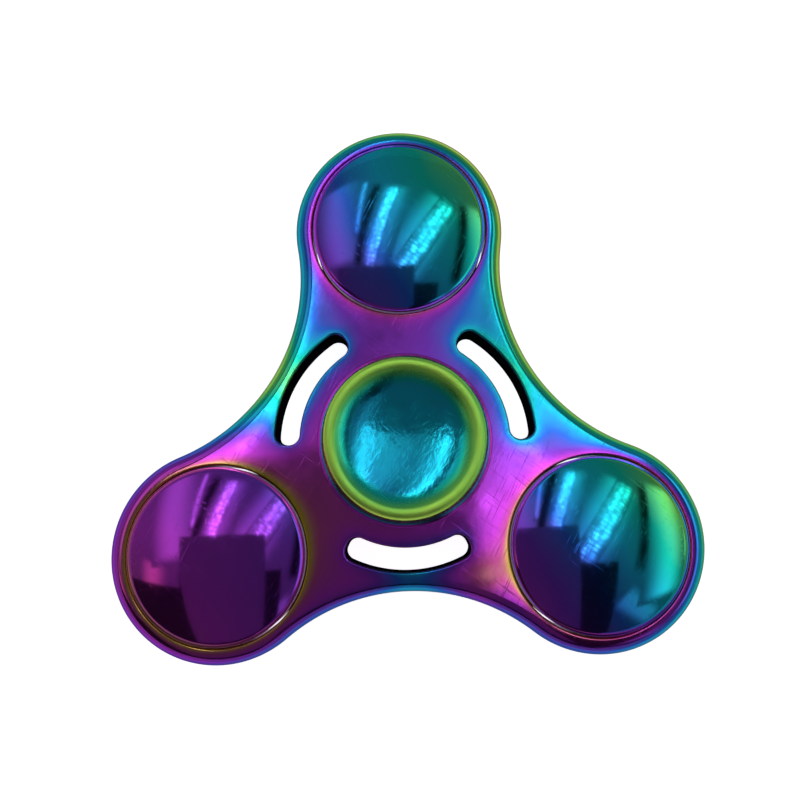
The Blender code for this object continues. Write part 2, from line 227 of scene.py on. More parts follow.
def polar(radius, angle, centre=(0.0, 0.0)):
    return (centre[0] + radius * math.cos(angle), centre[1] + radius * math.sin(angle))


def arc(centre, radius, start, end, steps):
    return [polar(radius, start + (end - start) * i / steps, centre) for i in range(steps + 1)]


def circle(centre, radius, steps):
    return arc(centre, radius, 0.0, FULL, steps)[:-1]


def lobe_centre(index):
    return polar(LOBE_PITCH, lobe_angle(index))


def waist_arc_radius():
    square = LOBE_RADIUS ** 2 - WAIST_DISTANCE ** 2 - LOBE_PITCH ** 2 + LOBE_PITCH * WAIST_DISTANCE
    return square / (2.0 * WAIST_DISTANCE - LOBE_PITCH - 2.0 * LOBE_RADIUS)


def body_outline(inset):
    """The body's outline moved inward: lobe arcs shrink, waist arcs grow, centres stay."""
    half_turn = math.pi / LOBE_COUNT
    waist_radius = waist_arc_radius()
    waist_pitch = WAIST_DISTANCE + waist_radius
    points = []
    for index in range(LOBE_COUNT):
        facing = lobe_angle(index)
        lobe = lobe_centre(index)
        waist = polar(waist_pitch, facing + half_turn)
        tangent = math.atan2(waist[1] - lobe[1], waist[0] - lobe[0])
        lobe_span = (tangent - facing) % FULL
        waist_span = lobe_span - half_turn
        inward = facing + half_turn + math.pi
        points += arc(lobe, LOBE_RADIUS - inset, facing - lobe_span, facing + lobe_span, LOBE_ARC_STEPS)[:-1]
        points += arc(waist, waist_radius + inset, inward + waist_span, inward - waist_span,
                      WAIST_ARC_STEPS)[:-1]
    return points


def slot_outline(index, growth):
    """One arc slot: two concentric arcs with rounded corners, grown outward."""
    half = math.radians(SLOT_HALF_ANGLE_DEG)
    corner = SLOT_CORNER + growth
    outer_right = polar(SLOT_OUTER - SLOT_CORNER, half)
    inner_right = polar(SLOT_INNER + SLOT_CORNER, half)
    inner_left = polar(SLOT_INNER + SLOT_CORNER, -half)
    outer_left = polar(SLOT_OUTER - SLOT_CORNER, -half)
    points = arc((0.0, 0.0), SLOT_OUTER + growth, -half, half, SLOT_ARC_STEPS)[:-1]
    points += arc(outer_right, corner, half, half + QUARTER, SLOT_CORNER_STEPS)
    points += arc(inner_right, corner, half + QUARTER, half + 2.0 * QUARTER, SLOT_CORNER_STEPS)[:-1]
    points += arc((0.0, 0.0), SLOT_INNER - growth, half, -half, SLOT_ARC_STEPS)[:-1]
    points += arc(inner_left, corner, 2.0 * QUARTER - half, 3.0 * QUARTER - half, SLOT_CORNER_STEPS)
    points += arc(outer_left, corner, -half - QUARTER, -half, SLOT_CORNER_STEPS)[:-1]
    facing = lobe_angle(index) + math.pi / LOBE_COUNT
    return [polar(math.hypot(x, y), math.atan2(y, x) + facing) for x, y in points]


def outward_normals(outline):
    """Unit normals of a counter-clockwise outline, pointing out of it."""
    normals = []
    for i, point in enumerate(outline):
        before = outline[i - 1]
        after = outline[(i + 1) % len(outline)]
        along = Vector((after[0] - before[0], after[1] - before[1])).normalized()
        normals.append((along.y, -along.x))
    return normals


def encloses(outline, point):
    x, y = point
    inside = False
    for i, (ax, ay) in enumerate(outline):
        bx, by = outline[i - 1]
        if (ay > y) != (by > y) and x < ax + (bx - ax) * (y - ay) / (by - ay):
            inside = not inside
    return inside


def nearest_tree(points):
    """Search tree over plane points, to find the nearest one to a place."""
    tree = kdtree.KDTree(len(points))
    for i, (x, y) in enumerate(points):
        tree.insert((x, y, 0.0), i)
    tree.balance()
    return tree


def bore_distance(x, y):
    """How far a plane point is outside the nearest lobe's bore."""
    return min(math.dist((x, y), lobe_centre(index)) for index in range(LOBE_COUNT)) - BORE_RADIUS


# --------------------------------------------------------------- mesh helpers


class Shell:
    """Points with their own normals, faces with a material number, and float attributes."""

    def __init__(self):
        self.points = []
        self.normals = []
        self.faces = []
        self.materials = []
        self.attributes = {}

    def add_point(self, point, normal, **attributes):
        self.points.append(Vector(point) * MM)
        self.normals.append(Vector(normal).normalized())
        for name, value in attributes.items():
            self.attributes.setdefault(name, []).append(value)
        return len(self.points) - 1

    def add_face(self, corners, material=0):
        corners = list(dict.fromkeys(corners))
        if len(corners) > 2:
            self.faces.append(corners)
            self.materials.append(material)

    def bridge(self, ring, following, material=0):
        """Quads between two rings of equal length; a ring of one point makes a fan."""
        count = max(len(ring), len(following))
        for i in range(count):
            j = i + 1
            corners = [ring[i % len(ring)], ring[j % len(ring)]]
            corners += [following[j % len(following)], following[i % len(following)]]
            self.add_face(corners, material)

    def mesh(self, name):
        made = bpy.data.meshes.new(name)
        made.from_pydata(self.points, [], self.faces)
        made.polygons.foreach_set('material_index', self.materials)
        made.shade_smooth()
        for attribute, values in self.attributes.items():
            layer = made.attributes.new(attribute, 'FLOAT', 'POINT')
            layer.data.foreach_set('value', values)
        made.normals_split_custom_set_from_vertices(self.normals)
        made.update()
        return made


def add_piece(name, mesh, materials, body, nodes):
    piece = bpy.data.objects.new(name, mesh)
    bpy.context.scene.collection.objects.link(piece)
    for material in materials:
        mesh.materials.append(material)
    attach(piece, body)
    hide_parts(*nodes)
    return piece


# ------------------------------------------------------------------ body mesh


def edge_profile():
    """(inset, height, outward share, upward share) from the body's waistline to its flat face."""
    profile = [(0.0, 0.0, 1.0, 0.0), (0.0, 0.5 * (BODY_HALF - EDGE_DROP), 1.0, 0.0)]
    for i in range(FILLET_STEPS + 1):
        turn = QUARTER * i / FILLET_STEPS
        height = BODY_HALF - EDGE_DROP + EDGE_DROP * math.sin(turn)
        inset = EDGE_INSET * (1.0 - math.cos(turn))
        profile.append((inset, height, EDGE_DROP * math.cos(turn), EDGE_INSET * math.sin(turn)))
    return profile


def lip_profile(lip, draft):
    """(growth, height, outward share, upward share) up a hole's wall and over its lip."""
    profile = [(0.0, 0.0, 1.0, 0.0)]
    for i in range(LIP_STEPS + 1):
        turn = QUARTER * i / LIP_STEPS
        height = BODY_HALF - lip + lip * math.sin(turn)
        profile.append((draft + lip * (1.0 - math.cos(turn)), height, math.cos(turn), math.sin(turn)))
    return profile


def body_side(shell, side, rims):
    """One half of the body's skin, on side +1 (front) or -1 (rear), from shared rim rings at mid-depth."""
    outline_tree = nearest_tree(rims['outline'])
    slots = [spot for index in range(LOBE_COUNT) for spot in slot_outline(index, SLOT_DRAFT + SLOT_LIP)]
    slot_tree = nearest_tree(slots)

    def point(x, y, height, normal, edge=None):
        nearest, _, reach = outline_tree.find((x, y, 0.0))
        if edge is None:
            edge = reach
        fall = CROWN_SHARE * math.exp(-edge / CROWN_REACH)
        slope = BODY_HALF * fall / CROWN_REACH * abs(normal[2])
        away = Vector((nearest[0] - x, nearest[1] - y, 0.0)).normalized()
        return shell.add_point((x, y, side * height * (1.0 - fall)), Vector(normal) + slope * away,
                               edge_mm=edge, bore_mm=bore_distance(x, y),
                               slot_mm=slot_tree.find((x, y, 0.0))[2])

    def raise_rings(start, outlines, normals, sign, material):
        previous = start
        for (height, across, up, edge), outline in outlines:
            ring = []
            for (x, y), (nx, ny) in zip(outline, normals):
                normal = (sign * nx * across, sign * ny * across, side * up)
                ring.append(point(x, y, height, normal, edge))
            pair = (previous, ring) if side * sign > 0 else (ring, previous)
            shell.bridge(*pair, material)
            previous = ring
        return previous

    loops = []
    levels = []
    for inset, height, across, up in edge_profile()[1:]:
        below = min(height - (BODY_HALF - EDGE_DROP), 0.0)
        levels.append(((height, across, up, inset + WALL_SHARE * below), body_outline(inset)))
    ring = raise_rings(rims['outer'], levels, outward_normals(rims['outline']), 1, 0)
    loops.append((ring, levels[-1][1]))
    for start, outline_of, profile, normals, wall in rims['holes']:
        levels = []
        for growth, height, across, up in profile[1:]:
            levels.append(((height, across, up, None), outline_of(growth)))
        top = raise_rings(start, levels[:1], normals, -1, wall)
        ring = raise_rings(top, levels[1:], normals, -1, 0)
        loops.append((ring, levels[-1][1]))
    fill_face(shell, side, loops, point)


def fill_face(shell, side, loops, point):
    """Triangles over the flat face between its loops, with grid points so that colours can vary."""
    flat = []
    indices = []
    edges = []
    for ring, outline in loops:
        base = len(flat)
        flat += [Vector(spot) for spot in outline]
        indices += ring
        edges += [(base + i, base + (i + 1) % len(ring)) for i in range(len(ring))]
    near = nearest_tree(flat)
    outer = loops[0][1]
    holes = [outline for ring, outline in loops[1:]]
    reach = LOBE_PITCH + LOBE_RADIUS
    row_pitch = GRID_PITCH * math.sin(math.radians(60.0))
    rows = int(reach / row_pitch)
    columns = int(reach / GRID_PITCH)
    for row in range(-rows, rows + 1):
        y = row * row_pitch
        shift = 0.5 * GRID_PITCH * (row % 2)
        for column in range(-columns, columns + 1):
            x = column * GRID_PITCH + shift
            if near.find((x, y, 0.0))[2] < GRID_CLEARANCE:
                continue
            if encloses(outer, (x, y)) and not any(encloses(hole, (x, y)) for hole in holes):
                flat.append(Vector((x, y)))
                indices.append(point(x, y, BODY_HALF, (0.0, 0.0, side)))
    verts, _, faces, origins, _, _ = geometry.delaunay_2d_cdt(flat, edges, [], 0, 1e-5)
    for face in faces:
        corners = [indices[origins[i][0]] for i in face]
        middle = sum((verts[i] for i in face), Vector((0.0, 0.0))) / len(face)
        if not encloses(outer, middle) or any(encloses(hole, middle) for hole in holes):
            continue
        a, b, c = (verts[i] for i in face[:3])
        turns_left = (b - a).cross(c - a) > 0.0
        shell.add_face(corners if turns_left == (side > 0) else corners[::-1])


def body_mesh():
    """The body's skin; material 1 is the near-black painted shade on the wall inside the slots."""
    shell = Shell()
    outline = body_outline(0.0)
    normals = outward_normals(outline)

    def rim(points, directions, sign):
        ring = []
        for (x, y), (nx, ny) in zip(points, directions):
            ring.append(shell.add_point((x, y, 0.0), (sign * nx, sign * ny, 0.0),
                                        edge_mm=WALL_SHARE * (EDGE_DROP - BODY_HALF),
                                        bore_mm=bore_distance(x, y), slot_mm=FAR))
        return ring

    rims = {'outline': outline, 'outer': rim(outline, normals, 1), 'holes': []}
    holes = []
    for index in range(LOBE_COUNT):
        def bore(growth, centre=lobe_centre(index)):
            return circle(centre, BORE_RADIUS + growth, BORE_SEGMENTS)

        def slot(growth, index=index):
            return slot_outline(index, growth)

        holes.append((bore, lip_profile(BORE_LIP, 0.0), 0))
        # Slot walls take material 1, the painted shade.
        holes.append((slot, lip_profile(SLOT_LIP, SLOT_DRAFT), 1))

    def seat(growth):
        return circle((0.0, 0.0), HUB_BORE_RADIUS + growth, BORE_SEGMENTS)

    holes.append((seat, lip_profile(BORE_LIP, 0.0), 0))
    for outline_of, profile, wall in holes:
        ring = outline_of(0.0)
        directions = outward_normals(ring)
        rims['holes'].append((rim(ring, directions, -1), outline_of, profile, directions, wall))
    for side in (1, -1):
        body_side(shell, side, rims)
    return shell.mesh('body_shell')


# --------------------------------------------------------------- turned meshes


def rounded_profile(corners, steps=3):
    """Round each (radius, height, fillet) corner of a closed profile with a small arc of points."""
    profile = []
    for i, (radius, height, fillet) in enumerate(corners):
        here = Vector((radius, height))
        if fillet <= 0.0:
            profile.append(tuple(here))
            continue
        before = (Vector(corners[i - 1][:2]) - here).normalized()
        after = (Vector(corners[(i + 1) % len(corners)][:2]) - here).normalized()
        start = here + before * fillet
        end = here + after * fillet
        for step in range(steps + 1):
            t = step / steps
            spot = start * (1.0 - t) ** 2 + here * 2.0 * t * (1.0 - t) + end * t ** 2
            profile.append((spot.x, spot.y))
    return profile


def turned_mesh(name, profile, centre, side):
    """Turn a closed profile, given clockwise in the (radius, height) plane, about its own axis.

    Each point's normal is the mean of the two faces that meet there.
    """
    shell = Shell()
    count = len(profile)

    def ring(radius, height, normal):
        number = TURNED_SEGMENTS if radius > ON_AXIS else 1
        made = []
        for i in range(number):
            angle = FULL * i / TURNED_SEGMENTS
            x, y = polar(radius, angle, centre)
            across = normal.x if number > 1 else 0.0
            direction = (across * math.cos(angle), across * math.sin(angle), side * normal.y)
            made.append(shell.add_point((x, y, side * height), direction, axis_mm=radius))
        return made

    faces_out = []
    for i in range(count):
        along = Vector(profile[(i + 1) % count]) - Vector(profile[i])
        faces_out.append(Vector((-along.y, along.x)).normalized())
    rings = []
    for i in range(count):
        arriving = faces_out[i - 1]
        leaving = faces_out[i]
        on_axis = profile[i][0] <= ON_AXIS
        if on_axis and profile[i - 1][0] <= ON_AXIS:
            arriving = leaving
        if on_axis and profile[(i + 1) % count][0] <= ON_AXIS:
            leaving = arriving
        rings.append(ring(*profile[i], (arriving + leaving).normalized()))
    for i in range(count):
        a, b = rings[i], rings[(i + 1) % count]
        if len(a) == 1 and len(b) == 1:
            continue
        pair = (b, a) if side > 0 else (a, b)
        shell.bridge(*pair)
    return shell.mesh(name)


def dome_mesh(name, centre, side):
    """Pressed cover: shallow dome, a fine step, a flat rim ring and a skirt."""
    edge = DOME_RADIUS - DOME_RIM_WIDTH
    sphere = (edge ** 2 + DOME_RISE ** 2) / (2.0 * DOME_RISE)
    middle = DOME_RIM_TOP + DOME_RISE - sphere
    spread = math.asin(edge / sphere)
    profile = []
    for i in range(33):
        turn = spread * i / 32
        profile.append((sphere * math.sin(turn), middle + sphere * math.cos(turn)))
    rim = [(edge + 0.03, DOME_RIM_TOP - 0.03, 0.0), (DOME_RADIUS, DOME_RIM_TOP, 0.07)]
    rim += [(DOME_RADIUS, DOME_FOOT, 0.0), (DOME_RADIUS - DOME_WALL, DOME_FOOT, 0.0)]
    profile += rounded_profile([(edge, DOME_RIM_TOP, 0.0)] + rim)[1:]
    inner = sphere - DOME_WALL
    inner_spread = math.asin((DOME_RADIUS - DOME_WALL) / inner)
    for i in range(12, -1, -1):
        turn = inner_spread * i / 12
        profile.append((inner * math.sin(turn), middle + inner * math.cos(turn)))
    return turned_mesh(name, profile, centre, side)


def dish_height(radius):
    """Height of the cap's dished face: a shallow bowl with a steeper wall near its rim."""
    share = radius / CAP_LAND_INNER
    bowl = DISH_BOWL_SHARE * share ** 2
    wall = (1.0 - DISH_BOWL_SHARE) * share ** DISH_WALL_POWER
    return CAP_CREST_Z - DISH_DEPTH * (1.0 - bowl - wall)


def cap_mesh(name, side):
    """Finger cap: dished face, rounded rim, flange and the boss through the bearing."""
    profile = []
    for i in range(49):
        radius = CAP_LAND_INNER * i / 48
        profile.append((radius, dish_height(radius)))
    for i in range(13):
        turn = QUARTER * i / 12
        radius = CAP_LAND_OUTER + (CAP_SHOULDER_RADIUS - CAP_LAND_OUTER) * math.sin(turn)
        profile.append((radius, CAP_CREST_Z - CAP_SHOULDER_DROP * (1.0 - math.cos(turn))))
    outside = [(CAP_SHOULDER_RADIUS, CAP_CREST_Z - CAP_SHOULDER_DROP, 0.0)]
    outside += [(CAP_FLANK_RADIUS, CAP_FLANGE_TOP + CAP_CREASE, 0.06)]
    outside += [(CAP_FLANK_RADIUS - CAP_CREASE, CAP_FLANGE_TOP, 0.05)]
    outside += [(CAP_FLANGE_RADIUS, CAP_FLANGE_TOP - CAP_CREASE, 0.12)]
    outside += [(CAP_FLANGE_RADIUS, CAP_FLANGE_BOTTOM, 0.05), (CAP_RELIEF_RADIUS, CAP_FLANGE_BOTTOM, 0.0)]
    profile += rounded_profile(outside)[1:]
    profile += [(CAP_RELIEF_RADIUS, CAP_RELIEF_Z), (CAP_SPIGOT_RADIUS, CAP_RELIEF_Z)]
    profile += [(CAP_SPIGOT_RADIUS, CAP_SEAT_Z), (CAP_BOSS_RADIUS, CAP_SEAT_Z)]
    profile += [(CAP_BOSS_RADIUS, CAP_BOSS_END)]
    if side > 0:
        profile += [(STUD_RADIUS, CAP_BOSS_END), (STUD_RADIUS, STUD_END_Z), (0.0, STUD_END_Z)]
    else:
        profile += [(TAPPED_RADIUS, CAP_BOSS_END), (TAPPED_RADIUS, TAPPED_END_Z), (0.0, TAPPED_END_Z)]
    return turned_mesh(name, profile, (0.0, 0.0), side)


# ------------------------------------------------------------------- materials


class Nodes:
    """Short calls that build one material's node tree."""

    def __init__(self, name):
        self.material = bpy.data.materials.new(name)
        self.material.use_nodes = True
        self.tree = self.material.node_tree
        self.shader = self.tree.nodes['Principled BSDF']

    def node(self, kind, **settings):
        made = self.tree.nodes.new(kind)
        for name, value in settings.items():
            setattr(made, name, value)
        return made

    def feed(self, socket, value):
        if isinstance(value, bpy.types.NodeSocket):
            self.tree.links.new(value, socket)
        else:
            socket.default_value = value

    def math(self, operation, first, second=0.0, third=0.0):
        made = self.node('ShaderNodeMath', operation=operation)
        for socket, value in zip(made.inputs, (first, second, third)):
            self.feed(socket, value)
        return made.outputs[0]

    def vector(self, operation, first, second):
        made = self.node('ShaderNodeVectorMath', operation=operation)
        self.feed(made.inputs[0], first)
        self.feed(made.inputs[1], second)
        return made.outputs['Value' if operation in ('DOT_PRODUCT', 'LENGTH', 'DISTANCE') else 'Vector']

    def fade(self, distance, reach):
        """1 where distance is 0, falling off over reach."""
        return self.math('EXPONENT', self.math('MULTIPLY', distance, -1.0 / reach))

    def attribute(self, name):
        return self.node('ShaderNodeAttribute', attribute_name=name).outputs['Fac']

    def noise(self, place, scale, detail=2.0, roughness=0.5):
        made = self.node('ShaderNodeTexNoise')
        self.feed(made.inputs['Vector'], place)
        made.inputs['Scale'].default_value = scale
        made.inputs['Detail'].default_value = detail
        made.inputs['Roughness'].default_value = roughness
        return made.outputs['Fac']

    def ramp(self, factor, stops, interpolation='LINEAR'):
        made = self.node('ShaderNodeValToRGB')
        made.color_ramp.interpolation = interpolation
        elements = made.color_ramp.elements
        while len(elements) < len(stops):
            elements.new(0.5)
        for element, (position, colour) in zip(elements, stops):
            element.position = position
            element.color = (*colour, 1.0)
        self.feed(made.inputs['Fac'], factor)
        return made.outputs['Color']

    def span(self, value, low, high, out_low=0.0, out_high=1.0):
        made = self.node('ShaderNodeMapRange')
        for socket, number in zip(made.inputs, (value, low, high, out_low, out_high)):
            self.feed(socket, number)
        return made.outputs['Result']

    def bump(self, height, reach, below=None):
        made = self.node('ShaderNodeBump')
        made.inputs['Distance'].default_value = reach
        self.feed(made.inputs['Height'], height)
        if below is not None:
            self.feed(made.inputs['Normal'], below)
        return made.outputs['Normal']


def stretched(nodes, place, turn_deg, stretch):
    """Place drawn out by stretch along a direction in the plane of the body."""
    mapping = nodes.node('ShaderNodeMapping', vector_type='TEXTURE')
    nodes.feed(mapping.inputs['Vector'], place)
    mapping.inputs['Rotation'].default_value = (0.0, 0.0, math.radians(turn_deg))
    mapping.inputs['Scale'].default_value = (stretch, 1.0, 1.0)
    return mapping.outputs['Vector']


def scratches(nodes, place, turn_deg, scale):
    """Sparse fine lines along one direction: noise stretched out and thresholded."""
    lines = nodes.noise(stretched(nodes, place, turn_deg, 33.0), scale, 1.0)
    return nodes.span(lines, 0.67, 0.74)


def coating(name, thickness, roughness, ripple, scuff, satin=None, shade=None):
    """Rainbow coating: thickness(nodes, place, normal) gives its place on the colour scale.

    ripple and scuff are (depth, scale) pairs for the soft waviness and for the rubbed marks.
    satin(nodes) may add roughness where the polish is duller, and shade(nodes) may darken.
    """
    nodes = Nodes(name)
    coordinates = nodes.node('ShaderNodeTexCoord')
    place = coordinates.outputs['Object']
    normal = coordinates.outputs['Normal']
    cloud = nodes.noise(place, 180.0)
    amount = nodes.math('ADD', thickness(nodes, place, normal), nodes.span(cloud, 0.3, 0.7, -0.015, 0.015))
    colour = nodes.ramp(amount, RAINBOW)
    if shade is not None:
        colour = nodes.vector('MULTIPLY', colour, shade(nodes))
    nodes.feed(nodes.shader.inputs['Base Color'], colour)
    nodes.shader.inputs['Metallic'].default_value = 1.0
    nodes.shader.inputs['Specular Tint'].default_value = (0.55, 0.45, 0.60, 1.0)
    fine = scratches(nodes, place, 62.0, 9000.0)
    crossing = scratches(nodes, place, -38.0, 7000.0)
    marks = nodes.math('MAXIMUM', fine, crossing)
    rubbed = nodes.span(nodes.noise(place, 400.0, 3.0), 0.35, 0.75, roughness, roughness * 1.8)
    if satin is not None:
        rubbed = nodes.math('ADD', rubbed, satin(nodes))
    rough = nodes.math('ADD', rubbed, nodes.math('MULTIPLY', marks, 0.1))
    nodes.feed(nodes.shader.inputs['Roughness'], rough)
    waves = nodes.bump(nodes.noise(place, ripple[1], 2.0), ripple[0])
    rubs = nodes.noise(stretched(nodes, place, 60.0, 2.0), scuff[1], 3.0, 0.6)
    worn = nodes.bump(rubs, scuff[0], waves)
    nodes.feed(nodes.shader.inputs['Normal'], nodes.bump(marks, -SCRATCH_DEPTH, worn))
    return nodes.material


def body_thickness(nodes, place, normal):
    """Thickest along the outline, thinnest round the bores, and rising slowly across the body.

    The side walls' edge_mm is negative; it is held near zero so that they keep the outline's colour.
    """
    drift = nodes.vector('DOT_PRODUCT', place, BODY_DRIFT)
    tilt = nodes.vector('DOT_PRODUCT', normal, TINT_DIRECTION)
    edge = nodes.math('MAXIMUM', nodes.attribute('edge_mm'), WALL_LIMIT)
    lip = nodes.fade(nodes.math('MAXIMUM', nodes.attribute('bore_mm'), 0.0), BORE_REACH)
    slot = nodes.fade(nodes.attribute('slot_mm'), SLOT_REACH)
    total = nodes.math('ADD', nodes.math('MAXIMUM', drift, LEAST_DRIFT), BODY_THICKNESS)
    total = nodes.math('MULTIPLY_ADD', tilt, BODY_TILT, total)
    total = nodes.math('MULTIPLY_ADD', nodes.fade(edge, OUTLINE_REACH), OUTLINE_THICKNESS, total)
    total = nodes.math('MULTIPLY_ADD', nodes.fade(edge, SHOULDER_REACH), SHOULDER_THICKNESS, total)
    total = nodes.math('MULTIPLY_ADD', slot, SLOT_THICKNESS, total)
    level = nodes.vector('MULTIPLY', place, (1.0, 1.0, 0.0))
    # The first patch is partly a painted highlight on the left arm.
    for spot, reach, rise in BODY_PATCHES_AND_HIGHLIGHT:
        away = nodes.vector('DISTANCE', level, (spot[0] * MM, spot[1] * MM, 0.0))
        square = nodes.math('MULTIPLY', away, away)
        near = nodes.math('EXPONENT', nodes.math('MULTIPLY', square, -(reach * MM) ** -2))
        total = nodes.math('MULTIPLY_ADD', near, rise, total)
    return nodes.math('MULTIPLY_ADD', lip, BORE_THICKNESS, total)


def painted_side_wall_shade(nodes):
    """Painted shade: the colour is darkened down the side walls."""
    return nodes.span(nodes.attribute('edge_mm'), -0.3, 0.45, 0.3, 1.0)


def dome_thickness(base, swing):
    """A cover's thickness: base on top, swing more where it faces TINT_DIRECTION, less on the rim."""
    def thickness(nodes, place, normal):
        tilt = nodes.vector('DOT_PRODUCT', normal, TINT_DIRECTION)
        rim = nodes.span(nodes.attribute('axis_mm'), *COVER_RIM_BAND, 0.0, COVER_RIM_THICKNESS)
        return nodes.math('ADD', nodes.math('MULTIPLY_ADD', tilt, swing, base), rim)
    return thickness


def cap_thickness(nodes, place, normal):
    """Teal in the dish, yellow-green on the rim, violet on the flange."""
    tilt = nodes.vector('DOT_PRODUCT', normal, TINT_DIRECTION)
    rim = nodes.span(nodes.attribute('axis_mm'), *CAP_RIM_BAND, 0.0, CAP_RIM_THICKNESS)
    flange = nodes.span(nodes.attribute('axis_mm'), *CAP_FLANGE_BAND, 0.0, CAP_FLANGE_THICKNESS)
    total = nodes.math('MULTIPLY_ADD', tilt, CAP_TILT, CAP_THICKNESS)
    return nodes.math('ADD', nodes.math('ADD', total, rim), flange)


def cap_satin(nodes):
    """Wear has dulled the rim; the dish and most of the flank stay polished."""
    away = nodes.attribute('axis_mm')
    rim = nodes.span(away, *CAP_WEAR_STARTS, 0.0, CAP_WEAR)
    flank = nodes.span(away, *CAP_WEAR_ENDS, 1.0, CAP_WEAR_LEFT)
    return nodes.math('MULTIPLY', rim, flank)


def painted_shade_slot_wall():
    """Painted shade: the wall inside the slots is made near black and barely reflective."""
    nodes = Nodes('slot_wall_painted_shade')
    place = nodes.node('ShaderNodeTexCoord').outputs['Object']
    grain = nodes.noise(place, 1200.0, 3.0)
    nodes.feed(nodes.shader.inputs['Base Color'],
               nodes.ramp(grain, ((0.3, (0.003, 0.003, 0.005)), (0.7, (0.008, 0.009, 0.013)))))
    nodes.shader.inputs['Specular IOR Level'].default_value = 0.0
    nodes.feed(nodes.shader.inputs['Roughness'], nodes.span(grain, 0.3, 0.7, 0.6, 0.8))
    nodes.feed(nodes.shader.inputs['Normal'], nodes.bump(grain, 4e-6))
    return nodes.material


def steel(name, colour, roughness):
    """Plain machined steel with fine turning marks."""
    nodes = Nodes(name)
    place = nodes.node('ShaderNodeTexCoord').outputs['Object']
    grain = nodes.noise(place, 900.0, 3.0)
    dark = tuple(0.85 * part for part in colour)
    nodes.feed(nodes.shader.inputs['Base Color'], nodes.ramp(grain, ((0.3, dark), (0.7, colour))))
    nodes.shader.inputs['Metallic'].default_value = 1.0
    nodes.feed(nodes.shader.inputs['Roughness'], nodes.span(grain, 0.3, 0.7, roughness, roughness * 1.5))
    nodes.feed(nodes.shader.inputs['Normal'], nodes.bump(grain, 1e-6))
    return nodes.material


# -------------------------------------------------------------------- assembly


def build_visible_pieces():
    # The body's coat darkens its side walls with painted shade.
    body_coat = coating('violet_coating', body_thickness, 0.09, (3e-6, 350.0), (1.5e-6, 2200.0),
                        shade=painted_side_wall_shade)
    cap_coat = coating('teal_coating', cap_thickness, 0.09, (1.2e-5, 900.0), (1.3e-5, 2600.0), cap_satin)
    add_piece('body_shell', body_mesh(), (body_coat, painted_shade_slot_wall()), 'rotor', ('body_frame',))
    for index, (where, (base, swing)) in enumerate(COVER_TINTS.items()):
        dome_coat = coating('blue_coating_' + where, dome_thickness(base, swing), 0.065, (1e-6, 500.0),
                            (2e-7, 2400.0))
        for face, side in (('front', 1), ('rear', -1)):
            name = 'cover_{}_{}'.format(where, face)
            node = 'dome_{}_{}'.format(where, face)
            add_piece(name, dome_mesh(name, lobe_centre(index), side), (dome_coat,), 'rotor', (node,))
    for face, side in (('front', 1), ('rear', -1)):
        name = 'thumb_cap_' + face
        add_piece(name, cap_mesh(name, side), (cap_coat,), 'hub', ('finger_cap_' + face,))


def finish_hidden_pieces():
    """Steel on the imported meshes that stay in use; the first name that fits decides."""
    finishes = {
        'bearing_cage': steel('cage_steel', (0.50, 0.48, 0.44), 0.35),
        'weight': steel('weight_steel', (0.40, 0.40, 0.41), 0.45),
        '': steel('bearing_steel', (0.62, 0.62, 0.63), 0.15),
    }
    for name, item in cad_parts.items():
        finish = next(made for start, made in finishes.items() if name.startswith(start))
        for material_slot in item.material_slots:
            material_slot.material = finish


# ----------------------------------------------------------------------- stage


def floor_material():
    """Pale floor that glows round the spinner and greys off towards the wall."""
    nodes = Nodes('pale_floor')
    place = nodes.node('ShaderNodeTexCoord').outputs['Object']
    away = nodes.vector('LENGTH', place, (0.0, 0.0, 0.0))
    seen = nodes.node('ShaderNodeLightPath').outputs['Is Camera Ray']
    falloff = nodes.span(away, 0.07, 0.4, 0.9, 0.3)
    glow = nodes.math('MULTIPLY', falloff, nodes.span(seen, 0.0, 1.0, 0.25, 1.0))
    near = nodes.span(away, 0.07, 0.5, 0.0, 1.0)
    pale = nodes.ramp(near, ((0.0, (0.9, 0.9, 0.9)), (1.0, (0.55, 0.56, 0.58))))
    nodes.feed(nodes.shader.inputs['Base Color'], pale)
    nodes.shader.inputs['Roughness'].default_value = 0.8
    nodes.shader.inputs['Emission Color'].default_value = (1.0, 1.0, 1.0, 1.0)
    nodes.feed(nodes.shader.inputs['Emission Strength'], glow)
    return nodes.material


def card_material(name, tone):
    """Dark cardboard with a faint glow of its own."""
    nodes = Nodes(name)
    place = nodes.node('ShaderNodeTexCoord').outputs['Object']
    grain = nodes.noise(place, 30.0)
    colour = (tone, tone, 1.1 * tone)
    light = tuple(1.02 * part for part in colour)
    nodes.feed(nodes.shader.inputs['Base Color'], nodes.ramp(grain, ((0.3, colour), (0.7, light))))
    nodes.shader.inputs['Roughness'].default_value = 0.8
    nodes.shader.inputs['Emission Color'].default_value = (*colour, 1.0)
    nodes.shader.inputs['Emission Strength'].default_value = 1.0
    return nodes.material


def soft_gap_material(name, tone):
    """Dark card that fades out towards its edges."""
    nodes = Nodes(name)
    place = nodes.node('ShaderNodeTexCoord').outputs['UV']
    nodes.shader.inputs['Base Color'].default_value = (tone, tone, tone, 1.0)
    nodes.feed(nodes.shader.inputs['Alpha'], soft_edges(nodes, place, 0.75, 0.2))
    return nodes.material


